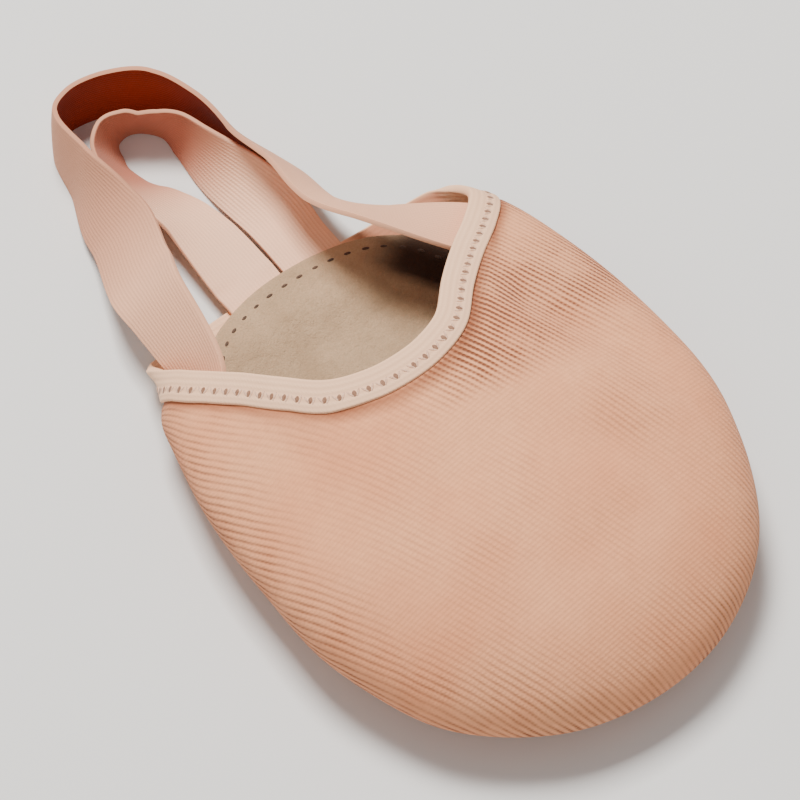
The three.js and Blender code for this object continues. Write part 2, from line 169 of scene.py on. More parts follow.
@dataclass
class HoodForm:
    """The hood's outer face, from the seam under the pad over the girth to the collar."""

    hood_length: float = 112.0
    ball_width: float = 92.0
    throat_height: float = 37.0
    throat_shift: float = 7.0
    shift_start: float = 0.5
    wall: float = 1.0
    pad_length: float = 70.0
    pad_width: float = 64.0
    pad_rear: float = 9.6
    pad_slant: float = 0.1
    seam_overlap: float = 6.0
    insole_margin: float = 9.1
    wall_base: float = 2.1
    binding_width: float = 6.0
    clearance: float = 0.3
    curve_steps: int = 48
    station_step: float = 0.08
    normal_step: float = 0.4
    least_square: float = 0.45
    pleat_count: int = 11
    pleat_height: float = 1.5
    pleat_rise: float = 2.5
    pleat_length: float = 24.0
    pleat_span: float = 2.7
    curves: dict[int, Curve] = field(default_factory=dict)

    def column(self, read: Callable[[Station], float], place: float, odd: bool = False) -> float:
        """Smooth value of one column of the table.

        Args:
            read: takes the value from a station.
            place: place between the stations.
            odd: whether the value changes sign past the middle line.

        Returns:
            The Catmull-Rom value.
        """

        def at(index: int) -> float:
            """Value at a station, mirrored past either end."""
            inside = -index if index < 0 else 2 * LAST - index if index > LAST else index
            value = read(STATIONS[inside])
            return -value if odd and inside != index else value

        index = min(int(place), LAST - 1)
        t = place - index
        a, b, c, d = (at(index + k) for k in (-1, 0, 1, 2))
        return b + 0.5 * t * (c - a + t * (2 * a - 5 * b + 4 * c - d + t * (3 * (b - c) + d - a)))

    def plan_point(self, forward: float, side: float) -> Vector:
        """Point of the ground plan, forward of the rear edge and to the side."""
        return Vector((side, self.pad_rear + self.pad_length / 2 - forward, 0.0))

    def pad_point(self, station: float) -> Vector:
        """Point of the pad's outline at a station round the shoe."""
        place, half = self.fold(station)
        forward = self.column(lambda row: row.pad[0], place)
        side = self.column(lambda row: row.pad[1], place, True)
        point = self.plan_point(self.pad_rear + self.pad_length * forward, half * self.pad_width * side)
        point.y += self.pad_slant * point.x * forward
        return point

    def fold(self, station: float) -> tuple[float, float]:
        """Place in the half table and signed half for a station round the whole shoe."""
        wrapped = station % (2 * LAST)
        return (2 * LAST - wrapped, -0.5) if wrapped > LAST else (wrapped, 0.5)

    def cross_curve(self, station: float) -> Curve:
        """Builds the cross curve at a station.

        Args:
            station: 0 at the toe, rising along the lateral side to LAST at the rear and on round.

        Returns:
            The measured curve.
        """
        place, half = self.fold(station)
        pad = self.pad_point(station)
        girth_row = [self.column(lambda row, k=k: row.girth[k], place, k == 1) for k in range(3)]
        collar_row = [self.column(lambda row, k=k: row.collar[k], place, k == 1) for k in range(3)]
        girth = self.plan_point(self.hood_length * girth_row[0], half * self.ball_width * girth_row[1])
        girth.z = max(self.throat_height * girth_row[2], self.wall_base)
        collar = self.plan_point(self.hood_length * collar_row[0], half * self.ball_width * collar_row[1])
        collar.x -= self.throat_shift * smooth(collar_row[2], self.shift_start, 1.0)
        collar.z = max(self.throat_height * collar_row[2], self.wall_base)
        crown = math.radians(self.column(lambda row: row.crown, place))
        flat = self.column(lambda row: row.flat, place)
        bend = min(max(self.column(lambda row: row.bend, place), 0.0), 1.0)
        mouth = pad - pad.normalized() * self.seam_overlap
        mouth.z = self.wall_base
        points: list[Vector] = []
        for i in range(self.curve_steps + 1):
            turn = i / self.curve_steps * math.pi / 2
            point = mouth.lerp(girth, math.sin(turn) ** (2 / flat))
            rise = 1 - max(math.cos(turn), 0.0) ** (2 / flat)
            point.z = mouth.z + (girth.z - mouth.z) * rise
            points.append(point)
        for i in range(1, self.curve_steps + 1):
            turn = i / self.curve_steps * crown
            point = girth.lerp(collar, (1 - math.cos(turn)) / (1 - math.cos(crown)))
            point.z = girth.z + (collar.z - girth.z) * math.sin(turn) / math.sin(crown)
            points.append(point)
        last = len(points) - 1
        points = [point.lerp(mouth.lerp(collar, i / last), 1 - bend) for i, point in enumerate(points)]
        return Curve(points, mouth, self.insole_margin * self.column(lambda row: row.lining, place))

    def curve(self, station: float) -> Curve:
        """Cross curve at a station, kept for the next call."""
        key = round((station % (2 * LAST)) * 1e6)
        if key not in self.curves:
            self.curves[key] = self.cross_curve(station)
        return self.curves[key]

    def surface(self, station: float, distance: float) -> tuple[Vector, Vector, Vector, Vector]:
        """Point, outward normal and the two directions of the outer face."""
        curve = self.curve(station)
        point = curve.at(distance)
        before = curve.at(max(distance - self.normal_step, 0.0))
        after = curve.at(min(distance + self.normal_step, curve.length))
        along = (after - before).normalized()
        share = distance / curve.length
        left = self.curve(station - self.station_step)
        right = self.curve(station + self.station_step)
        around = (right.at(share * right.length) - left.at(share * left.length)).normalized()
        return point, around.cross(along).normalized(), along, around

    def inside_edge(self, station: float, width: float) -> float:
        """Distance along a cross curve at a width inside the collar's edge, square to that edge."""
        length = self.curve(station).length
        _, _, along, around = self.surface(station, length)
        return length - width / max(along.cross(around).length, self.least_square)

    def gather(self, station: float, distance: float) -> float:
        """Height of the gathers under the toe, with rounded crests and narrow valleys."""
        wrapped = station % (2 * LAST)
        turned = wrapped - 2 * LAST if wrapped > LAST else wrapped
        if abs(turned) >= self.pleat_span:
            return 0.0
        beyond = distance - self.seam_overlap
        share = (turned + self.pleat_span) / (2 * self.pleat_span)
        crest = abs(math.sin(math.pi * self.pleat_count * share)) ** 0.65
        reach = self.pleat_length * (0.72 + 0.28 * math.cos(9.0 * share * math.pi + 0.7))
        fade = smooth(beyond, 0.0, self.pleat_rise) * (1 - smooth(beyond, self.pleat_rise, reach))
        return self.pleat_height * crest * fade * smooth(self.pleat_span - abs(turned), 0.0, 1.0)

    def flat_place(self, station: float, distance: float) -> tuple[float, float]:
        """Place of a point on the fabric as it was cut flat, in millimetres."""
        curve = self.curve(station)
        edge = curve.points[-1]
        girth = curve.points[self.curve_steps]
        outward = Vector((girth.x - edge.x, girth.y - edge.y))
        if outward.length < 1e-6:
            outward = Vector((0.0, -1.0))
        outward.normalize()
        run = curve.length - distance
        return edge.x + outward.x * run, edge.y + outward.y * run


# Workbench


class Workbench:
    """Mesh work that several pieces share."""

    @staticmethod
    def clear_selection() -> None:
        """Deselects every object."""
        if bpy.context.object and bpy.context.object.mode != "OBJECT":
            bpy.ops.object.mode_set(mode="OBJECT")
        bpy.ops.object.select_all(action="DESELECT")

    @classmethod
    def take(cls, piece: Piece) -> None:
        """Selects one object alone and makes it active."""
        cls.clear_selection()
        piece.select_set(True)
        bpy.context.view_layer.objects.active = piece

    @classmethod
    def lay_grid(
        cls, name: str, columns: int, rows: int, place: Place, chart: Chart, rolled: Rolled = Rolled.OPEN
    ) -> Piece:
        """Adds a grid, lays it over a surface and closes its edges.

        Args:
            name: name of the piece.
            columns: faces along the first direction.
            rows: faces along the second direction.
            place: gives a point in millimetres for two shares from 0 to 1.
            chart: gives the place on the flat fabric, in millimetres.
            rolled: how the edges meet.

        Returns:
            The new piece, at the origin.
        """
        cls.clear_selection()
        bpy.ops.mesh.primitive_grid_add(x_subdivisions=columns, y_subdivisions=rows, size=1.0)
        piece = bpy.context.object
        piece.name = piece.data.name = name
        mesh = piece.data
        shares = [(vertex.co.x + 0.5, vertex.co.y + 0.5) for vertex in mesh.vertices]
        charted = [chart(*share) for share in shares]
        for loop, layer in zip(mesh.loops, mesh.uv_layers[0].data):
            layer.uv = charted[loop.vertex_index]
        for vertex, share in zip(mesh.vertices, shares):
            vertex.co = place(*share) * MM
        if rolled is not Rolled.OPEN:
            bpy.ops.object.mode_set(mode="EDIT")
            bpy.ops.mesh.select_all(action="SELECT")
            bpy.ops.mesh.remove_doubles(threshold=1e-6)
            bpy.ops.object.mode_set(mode="OBJECT")
        return piece

    @classmethod
    def face_towards(cls, piece: Piece, outward: Callable[[Vector], Vector]) -> None:
        """Turns the faces of an open sheet so that most of them look outward."""
        total = sum(face.area * face.normal.dot(outward(face.center)) for face in piece.data.polygons)
        if total < 0:
            cls.edit(piece, lambda: bpy.ops.mesh.flip_normals())

    @classmethod
    def edit(cls, piece: Piece, *steps: Callable[[], object]) -> None:
        """Runs edit-mode steps on the whole mesh of a piece."""
        cls.take(piece)
        bpy.ops.object.mode_set(mode="EDIT")
        bpy.ops.mesh.select_all(action="SELECT")
        for step in steps:
            step()
        bpy.ops.object.mode_set(mode="OBJECT")

    @classmethod
    def outward_normals(cls, piece: Piece) -> None:
        """Points the faces of a closed piece outwards."""
        cls.edit(piece, lambda: bpy.ops.mesh.normals_make_consistent(inside=False))

    @classmethod
    def apply(cls, piece: Piece, kind: str, **settings: object) -> None:
        """Adds a modifier with its settings and applies it."""
        cls.take(piece)
        modifier = piece.modifiers.new(kind.title(), kind)
        for key, value in settings.items():
            setattr(modifier, key, value)
        bpy.ops.object.modifier_apply(modifier=modifier.name)

    @classmethod
    def round_edges(cls, piece: Piece, width: float) -> None:
        """Rounds the sharp edges of a piece by a width in millimetres."""
        cls.apply(
            piece, "BEVEL", width=width * MM, segments=2, limit_method="ANGLE", angle_limit=math.radians(50)
        )

    @classmethod
    def join(cls, name: str, parts: Sequence[Piece]) -> Piece:
        """Joins parts into one piece."""
        cls.take(parts[0])
        for part in parts:
            part.select_set(True)
        bpy.ops.object.join()
        piece = bpy.context.object
        piece.name = piece.data.name = name
        return piece

    @classmethod
    def rest(cls, piece: Piece) -> None:
        """Puts a piece's place into its mesh and shades it smooth."""
        cls.take(piece)
        bpy.ops.object.transform_apply(location=True, rotation=True, scale=True)
        bpy.ops.object.shade_smooth()

    @staticmethod
    def dress(piece: Piece, node: Optional[str], slot: str, *finishes: Finish) -> None:
        """Gives a piece its finishes and its place in the frame.

        Args:
            piece: the finished piece.
            node: CAD node that it stands for, or None for a detail.
            slot: material slot of the record; not used.
            finishes: materials, one for each slot of the mesh.
        """
        for finish in finishes[len(piece.data.materials):]:
            piece.data.materials.append(finish)
        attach(piece, "root")
        if node:
            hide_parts(node)

    @staticmethod
    def weigh(piece: Piece, name: str, value: Callable[[Vector, Vector], float]) -> None:
        """Writes a number for each vertex from its place and normal."""
        layer = piece.data.attributes.new(name, "FLOAT", "POINT")
        for vertex in piece.data.vertices:
            layer.data[vertex.index].value = value(vertex.co / MM, vertex.normal)


@dataclass
class Stitch:
    """One thread stitch, modelled once and copied along a seam."""

    length: float
    width: float
    height: float

    def pattern(self) -> Piece:
        """Models the stitch: a flattened ball with drawn-down ends."""
        Workbench.clear_selection()
        bpy.ops.mesh.primitive_uv_sphere_add(segments=8, ring_count=6, radius=0.5)
        stitch = bpy.context.object
        Workbench.edit(
            stitch,
            lambda: bpy.ops.transform.rotate(
                value=math.pi / 2, orient_axis="Y", center_override=(0, 0, 0)
            ),
            lambda: bpy.ops.transform.resize(
                value=(self.length * MM, self.width * MM, self.height * MM), center_override=(0, 0, 0)
            ),
        )
        for vertex in stitch.data.vertices:
            drop = (abs(vertex.co.x) / (self.length * MM / 2)) ** 2
            vertex.co.z -= 0.55 * self.height * MM * drop
        return stitch

    def sew(self, name: str, seats: Iterable[tuple[Vector, Vector, Vector]]) -> Piece:
        """Copies the stitch to its seats.

        Args:
            name: name of the whole seam.
            seats: place in millimetres, direction of the thread and outward normal of each stitch.

        Returns:
            One piece with all the stitches.
        """
        pattern = self.pattern()
        parts = []
        for place, along, outward in seats:
            side = outward.cross(along).normalized()
            forward = side.cross(outward).normalized()
            turn = Matrix((forward, side, outward)).transposed().to_4x4()
            copy = pattern.copy()
            copy.data = pattern.data.copy()
            copy.data.transform(Matrix.Translation(place * MM) @ turn)
            bpy.context.scene.collection.objects.link(copy)
            parts.append(copy)
        bpy.data.objects.remove(pattern)
        piece = Workbench.join(name, parts)
        Workbench.rest(piece)
        return piece


# Finishes


class Recipe:
    """Builds one node material step by step."""

    def __init__(self, name: str) -> None:
        """Starts a material with a plain shader."""
        self.material = bpy.data.materials.new(name)
        self.material.use_nodes = True
        self.tree = self.material.node_tree
        self.shader = self.tree.nodes["Principled BSDF"]

    def node(self, kind: str, **settings: object) -> bpy.types.Node:
        """Adds a node with its settings."""
        made = self.tree.nodes.new(kind)
        for key, value in settings.items():
            setattr(made, key, value)
        return made

    def feed(self, socket: Socket, value: object) -> None:
        """Links a socket, or sets its value."""
        if isinstance(value, Socket):
            self.tree.links.new(value, socket)
        elif isinstance(value, tuple) and len(value) == 3 and socket.type == "RGBA":
            socket.default_value = (*value, 1.0)
        else:
            socket.default_value = value

    def reckon(self, operation: str, *values: object) -> Socket:
        """Result of a Math node."""
        made = self.node("ShaderNodeMath", operation=operation)
        for socket, value in zip(made.inputs, values):
            self.feed(socket, value)
        return made.outputs[0]

    def place(self) -> Socket:
        """Place on the piece, in metres."""
        return self.node("ShaderNodeTexCoord").outputs["Object"]

    def flat(self) -> tuple[Socket, Socket]:
        """Place on the flat fabric, in millimetres."""
        parts = self.node("ShaderNodeSeparateXYZ")
        self.feed(parts.inputs[0], self.node("ShaderNodeTexCoord").outputs["UV"])
        return parts.outputs[0], parts.outputs[1]

    def grain(self, scale: float, detail: float = 3.0, rough: float = 0.6) -> Socket:
        """Noise of a scale per metre, from 0 to 1."""
        made = self.node("ShaderNodeTexNoise")
        self.feed(made.inputs["Vector"], self.place())
        self.feed(made.inputs["Scale"], scale)
        self.feed(made.inputs["Detail"], detail)
        self.feed(made.inputs["Roughness"], rough)
        return made.outputs[0]

    def weight(self, name: str) -> Socket:
        """A number written on the mesh."""
        return self.node("ShaderNodeAttribute", attribute_name=name).outputs["Fac"]

    def between(self, value: object, low: float, high: float, start: float = 0.0, end: float = 1.0) -> Socket:
        """Value moved from one range to another, held at its ends."""
        made = self.node("ShaderNodeMapRange")
        for socket, entry in zip(made.inputs, (value, low, high, start, end)):
            self.feed(socket, entry)
        return made.outputs[0]

    def ridges(self, across: object, pitch: float) -> Socket:
        """Sine ridges of a pitch, from 0 to 1."""
        turn = self.reckon("MULTIPLY", across, 2 * math.pi / pitch)
        return self.reckon("MULTIPLY_ADD", self.reckon("SINE", turn), 0.5, 0.5)

    def tint(self, share: object, low: object, high: object) -> Socket:
        """Colour between two colours."""
        made = self.node("ShaderNodeMix", data_type="RGBA")
        self.feed(made.inputs[0], share)
        self.feed(made.inputs[6], low)
        self.feed(made.inputs[7], high)
        return made.outputs[2]

    def emboss(self, height: object, distance: float, below: Optional[Socket] = None) -> Socket:
        """Bump of a height map, over another bump if there is one."""
        made = self.node("ShaderNodeBump")
        self.feed(made.inputs["Strength"], 1.0)
        self.feed(made.inputs["Distance"], distance)
        self.feed(made.inputs["Height"], height)
        if below is not None:
            self.feed(made.inputs["Normal"], below)
        return made.outputs[0]

    def finish(self, colour: object, rough: object, normal: Socket, **constants: object) -> Finish:
        """Joins colour, roughness and bump to the shader and sets its constants."""
        self.feed(self.shader.inputs["Base Color"], colour)
        self.feed(self.shader.inputs["Roughness"], rough)
        self.feed(self.shader.inputs["Normal"], normal)
        for key, value in constants.items():
            self.feed(self.shader.inputs[key.replace("_", " ")], value)
        return self.material


@dataclass(frozen=True)
class RibbedTwill:
    """Stretch fabric with fine diagonal ribs."""

    name: str = "ribbed_twill"
    light: Colour = (0.97, 0.44, 0.225)
    blush: Colour = (0.88, 0.35, 0.17)
    furrow: Colour = (0.26, 0.075, 0.033)
    pitch: float = 1.2
    angle: float = 26.0
    knot: float = 0.8

    def make(self) -> Finish:
        """Builds the material; its weights say how far the ribs stand out and where shade is painted on it.
        """
        recipe = Recipe(self.name)
        u, v = recipe.flat()
        cos, sin = math.cos(math.radians(self.angle)), math.sin(math.radians(self.angle))
        sway = recipe.reckon("MULTIPLY", recipe.grain(90.0, 2.0), 0.7)
        across = recipe.reckon("MULTIPLY_ADD", u, cos, recipe.reckon("MULTIPLY_ADD", v, sin, sway))
        along = recipe.reckon("MULTIPLY_ADD", v, cos, recipe.reckon("MULTIPLY", u, -sin))
        rib = recipe.ridges(across, self.pitch)
        step = recipe.reckon("MULTIPLY", across, self.knot / 2 / self.pitch)
        knots = recipe.ridges(recipe.reckon("ADD", along, step), self.knot)
        furrow = recipe.reckon("POWER", recipe.reckon("SUBTRACT", 1.0, rib), 1.8)
        uneven = recipe.between(recipe.grain(160.0, 3.0), 0.3, 0.65, 0.45, 1.1)
        stand = recipe.reckon("MULTIPLY", recipe.weight("ribs"), uneven)
        broken = recipe.reckon("MULTIPLY_ADD", knots, 0.35, 0.65)
        depth = recipe.reckon("MULTIPLY", recipe.reckon("MULTIPLY", furrow, broken), stand)
        cloud = recipe.between(recipe.grain(38.0, 3.0), 0.35, 0.7)
        fuzz = recipe.grain(5200.0, 2.0)
        mottle = recipe.between(recipe.grain(620.0, 3.0, 0.7), 0.38, 0.68, 0.0, 0.16)
        ground = recipe.tint(mottle, recipe.tint(cloud, self.light, self.blush), (0.5, 0.22, 0.12))
        ground = recipe.tint(recipe.between(fuzz, 0.3, 0.7, 0.0, 0.24), ground, (0.5, 0.22, 0.12))
        # Painted shade: the rib furrows take the furrow colour, the more the deeper they are.
        colour = recipe.tint(recipe.between(depth, 0.0, 1.0, 0.0, 0.95), ground, self.furrow)
        # Painted shade: the weight named seam darkens to the furrow colour along the tape's edge and where
        # the fabric turns under.
        colour = recipe.tint(recipe.reckon("MULTIPLY", recipe.weight("seam"), 0.9), colour, self.furrow)
        weave = recipe.emboss(fuzz, 0.00006)
        height = recipe.reckon("MULTIPLY_ADD", depth, -1.0, recipe.reckon("MULTIPLY", knots, 0.12))
        normal = recipe.emboss(height, 0.0003, weave)
        return recipe.finish(
            colour, 0.92, normal, Sheen_Weight=0.06, Sheen_Roughness=0.5, Specular_IOR_Level=0.15
        )


@dataclass(frozen=True)
class Elastic:
    """Flat elastic tape with fine ribs along its length."""

    name: str
    light: Colour
    furrow: Colour
    painted_shade: Colour
    pitch: float = 0.7
    pick: float = 0.6
    relief: float = 0.00007

    def make(self) -> Finish:
        """Builds the material on the flat tape: painted shade in the rib furrows, and a weight on the mesh
        that leads to a painted shade colour.
        """
        recipe = Recipe(self.name)
        u, v = recipe.flat()
        rib = recipe.ridges(v, self.pitch)
        pick = recipe.ridges(recipe.reckon("ADD", u, recipe.reckon("MULTIPLY", v, 0.4)), self.pick)
        cloth = recipe.reckon("MULTIPLY", rib, recipe.reckon("MULTIPLY_ADD", pick, 0.4, 0.6))
        fuzz = recipe.grain(4200.0, 2.0)
        cloud = recipe.between(recipe.grain(60.0, 2.0), 0.3, 0.75, 0.0, 0.12)
        ground = recipe.tint(recipe.between(cloth, 0.0, 1.0, 0.24, 0.0), self.light, self.furrow)
        colour = recipe.tint(recipe.weight("painted_shade"), recipe.tint(cloud, ground, self.furrow), self.painted_shade)
        normal = recipe.emboss(cloth, self.relief, recipe.emboss(fuzz, 0.00005))
        return recipe.finish(
            colour, 0.85, normal, Sheen_Weight=0.08, Sheen_Roughness=0.45, Specular_IOR_Level=0.2
        )


@dataclass(frozen=True)
class Suede:
    """Split leather with a brushed nap."""

    name: str
    light: Colour
    dark: Colour
    painted_shade: Colour = (0.03, 0.01, 0.006)

    def make(self) -> Finish:
        """Builds the material: clouds of brushed nap, fine fibres, small pits and a painted shade colour that
        a weight leads to.
        """
        recipe = Recipe(self.name)
        cloud = recipe.between(recipe.grain(110.0, 4.0, 0.65), 0.3, 0.72)
        fibre = recipe.grain(2600.0, 4.0, 0.75)
        pits = recipe.between(recipe.grain(900.0, 2.0), 0.55, 0.75, 0.0, 0.35)
        ground = recipe.tint(recipe.between(cloud, 0.0, 1.0, 0.0, 0.6), self.light, self.dark)
        ground = recipe.tint(recipe.between(fibre, 0.35, 0.7, 0.0, 0.5), ground, self.dark)
        colour = recipe.tint(recipe.weight("painted_shade"), recipe.tint(pits, ground, self.dark), self.painted_shade)
        normal = recipe.emboss(fibre, 0.00022, recipe.emboss(recipe.grain(700.0, 3.0), 0.0003))
        return recipe.finish(
            colour, 0.95, normal, Sheen_Weight=0.12, Sheen_Roughness=0.6, Specular_IOR_Level=0.12
        )


@dataclass(frozen=True)
class Thread:
    """Twisted sewing thread."""

    name: str
    light: Colour
    dark: Colour

    def make(self) -> Finish:
        """Builds the material with a fine twist."""
        recipe = Recipe(self.name)
        twist = recipe.grain(3500.0, 2.0)
        colour = recipe.tint(recipe.between(twist, 0.35, 0.7), self.light, self.dark)
        normal = recipe.emboss(twist, 0.0001)
        return recipe.finish(colour, 0.7, normal, Sheen_Weight=0.2, Specular_IOR_Level=0.3)


@dataclass(frozen=True)
class PaleFloor:
    """Matt studio floor."""

    colour: Colour = (0.78, 0.78, 0.77)

    def make(self) -> Finish:
        """Builds the material with a faint mottle."""
        recipe = Recipe("pale_floor")
        mottle = recipe.grain(14.0, 3.0)
        colour = recipe.tint(recipe.between(mottle, 0.3, 0.7, 0.0, 0.08), self.colour, (0.7, 0.7, 0.7))
        return recipe.finish(colour, 0.8, recipe.emboss(mottle, 0.0001))


class Finishes:
    """All the finishes of the shoe, made once."""

    def __init__(self) -> None:
        """Makes each finish from its colours."""
        # Painted shade colours: the tape's for its rear corner, and the strap face's for its rib furrows and
        # the back of the loop.
        tape_painted_shade, strap_furrow = (0.4, 0.15, 0.08), (0.6, 0.28, 0.17)
        self.twill = RibbedTwill().make()
        # A dark copy of the twill for the hood's inside: painted shade.
        self.twill_inside_painted_shade = RibbedTwill(
            "twill_inside_painted_shade", (0.2, 0.06, 0.035), (0.16, 0.045, 0.025), (0.07, 0.015, 0.01)
        ).make()
        self.tape = Elastic(
            "binding_tape", (1.0, 0.62, 0.385), (0.6, 0.31, 0.19), tape_painted_shade, pitch=1.1, pick=0.8
        ).make()
        self.strap = Elastic("strap_face", (0.86, 0.46, 0.285), strap_furrow, strap_furrow).make()
        # A copy of the strap elastic for the loop's inner face: lighter, as painted light on the lit flats,
        # with a dark painted shade colour for the loop's back.
        self.strap_back_painted_light_and_shade = Elastic(
            "strap_back_painted_light_and_shade", (1.0, 0.61, 0.41), (0.66, 0.33, 0.2), (0.32, 0.03, 0.005)
        ).make()
        self.lining = Suede("lining_suede", (0.6, 0.41, 0.25), (0.36, 0.23, 0.13)).make()
        self.sole = Suede("sole_suede", (0.5, 0.36, 0.225), (0.33, 0.22, 0.13)).make()
        self.pale_thread = Thread("pale_thread", (0.78, 0.6, 0.46), (0.55, 0.38, 0.27)).make()
        self.tape_thread = Thread("tape_thread", (0.85, 0.55, 0.38), (0.6, 0.33, 0.21)).make()
        self.seam_shade = Thread("seam_shade", (0.33, 0.17, 0.1), (0.2, 0.09, 0.05)).make()
        self.dark_thread = Thread("dark_thread", (0.12, 0.07, 0.045), (0.05, 0.025, 0.015)).make()


# Pieces


@dataclass(frozen=True)
class Crease:
    """A soft trough, or a ridge where its depth is negative, on the top of the hood."""

    x: float
    y: float
    turn: float
    reach: float
    width: float
    depth: float

    def at(self, place: Vector) -> float:
        """Depth of the crease at a place of the plan."""
        angle = math.radians(self.turn)
        along = (place.x - self.x) * math.cos(angle) + (place.y - self.y) * math.sin(angle)
        across = (place.y - self.y) * math.cos(angle) - (place.x - self.x) * math.sin(angle)
        return self.depth * hill(along, self.reach) * hill(across, self.width)


@dataclass
class Hood:
    """The gathered fabric hood."""

    form: HoodForm
    finishes: Finishes
    gathered_columns: int = 132
    plain_columns: int = 120
    rows: int = 74
    tuck_under_binding: float = 2.6
    edge_points: int = 900
    midline_dent: float = 0.45
    seam_dent: float = 0.4
    unevenness: float = 0.35
    seam_shade_width: float = 1.4
    low_shade: float = 0.2
    creases: tuple[Crease, ...] = (
        Crease(24.0, 2.0, -62.0, 17.0, 4.5, 1.1),
        Crease(31.0, -14.0, -75.0, 16.0, 5.0, 0.8),
        Crease(17.0, -30.0, -40.0, 15.0, 5.5, 0.7),
        Crease(-12.0, -22.0, 20.0, 18.0, 6.0, 0.45),
        Crease(4.0, -44.0, 8.0, 20.0, 4.5, 0.4),
        Crease(-28.0, 6.0, 70.0, 14.0, 4.5, 0.6),
        Crease(6.0, -10.0, -55.0, 18.0, 7.0, -0.5),
    )

    def station(self, share: float) -> float:
        """Station for a share of the way round, closer together at the gathers."""
        columns = self.gathered_columns + self.plain_columns
        place = share * columns
        span = self.form.pleat_span
        if place <= self.gathered_columns:
            return -span + 2 * span * place / self.gathered_columns
        return span + (2 * LAST - 2 * span) * (place - self.gathered_columns) / self.plain_columns

    def distance(self, station: float, share: float) -> float:
        """Distance along the cross curve for a share of the rows."""
        form = self.form
        end = form.inside_edge(station, form.binding_width + form.clearance - self.tuck_under_binding)
        return form.curve(station).row(share, 0.0, end)

    def point(self, across: float, share: float) -> Vector:
        """Point of the hood's outer face, in millimetres."""
        station = self.station(across)
        distance = self.distance(station, share)
        point, normal, _, _ = self.form.surface(station, distance)
        lift = self.form.gather(station, distance)
        curve = self.form.curve(station)
        sunk = sum(crease.at(point) for crease in self.creases) * smooth(normal.z, 0.05, 0.5)
        sunk *= smooth(curve.length - distance, 7.0, 16.0)
        tuck = abs((station % (2 * LAST)) - LAST)
        under = smooth(distance, 5.5, 7.5) * smooth(-normal.z, 0.3, 0.8)
        sunk += self.midline_dent * hill(tuck * 30.0, 1.1) * under
        sunk += self.seam_dent * hill(curve.length - distance - self.form.binding_width, 0.9)
        soft = noise.noise(point * 0.055) * self.unevenness * smooth(distance, 12.0, 24.0)
        return point + normal * (lift - sunk + soft * smooth(curve.length - distance, 7.0, 16.0))

    def chart(self, across: float, share: float) -> tuple[float, float]:
        """Place on the flat fabric."""
        station = self.station(across)
        return self.form.flat_place(station, self.distance(station, share))

    def tape_edge(self) -> kdtree.KDTree:
        """Points along the tape's lower edge, where the hood lies in its shadow."""
        count = self.edge_points
        tree = kdtree.KDTree(count)
        for i in range(count):
            station = 2 * LAST * i / count
            edge = self.form.inside_edge(station, self.form.binding_width)
            tree.insert(self.form.surface(station, edge)[0], i)
        tree.balance()
        return tree

    @staticmethod
    def rib_weight(place: Vector, normal: Vector, from_tape: float) -> float:
        """How far the ribs stand out, in bump and painted furrow shade: strained flat over the top, clear
        beside the collar and below.
        """
        top = smooth(normal.z, 0.55, 0.92)
        below = smooth(-normal.z, -0.4, 0.1)
        reach = 9.0 + 0.5 * max(place.x, 0.0)
        strained = (1 - smooth(from_tape, 0.6 * reach, 1.15 * reach)) * smooth(place.x, -14.0, 6.0)
        strained *= 1 - 0.9 * hill(place.x - 34.0, 9.0) * hill(place.y - 19.0, 10.0)
        second = hill(place.x - 25.0, 9.0) * hill(place.y + 24.0, 8.0)
        patch = 0.22 * noise.noise(place * 0.07 + Vector((3.0, 1.0, 7.0)))
        clear = 0.16 + 0.42 * (1 - top) + 0.5 * below + 1.3 * strained + 0.35 * second + patch
        return min(max(clear, 0.08), 1.6)

    def shade(self, place: Vector, normal: Vector, from_tape: float) -> float:
        """Painted shade on the fabric: a painted shadow along the tape's seam, and a little painted shade
        where it turns under.
        """
        low = 1 - smooth(normal.z, -0.15, 0.75)
        return min(hill(from_tape, self.seam_shade_width) + self.low_shade * low, 1.0)

    def build(self) -> Piece:
        """Models the hood."""
        columns = self.gathered_columns + self.plain_columns
        hood = Workbench.lay_grid("hood", columns, self.rows, self.point, self.chart, Rolled.RING)
        # The hood's inside takes the dark copy of the twill: painted shade.
        faces = (self.finishes.twill, self.finishes.twill_inside_painted_shade)
        for finish in faces:
            hood.data.materials.append(finish)
        Workbench.face_towards(hood, lambda centre: Vector((centre.x, centre.y, centre.z - 0.015)))
        Workbench.apply(hood, "SOLIDIFY", thickness=self.form.wall * MM, offset=-1.0, material_offset=1)
        Workbench.rest(hood)
        edge = self.tape_edge()
        Workbench.weigh(hood, "ribs", lambda *at: self.rib_weight(*at, edge.find(at[0])[2]))
        # The weight named seam is painted shade: a painted shadow along the tape's edge, and a little where
        # the fabric turns under.
        Workbench.weigh(hood, "seam", lambda *at: self.shade(*at, edge.find(at[0])[2]))
        Workbench.dress(hood, "upper", "hood_fabric", *faces)
        return hood


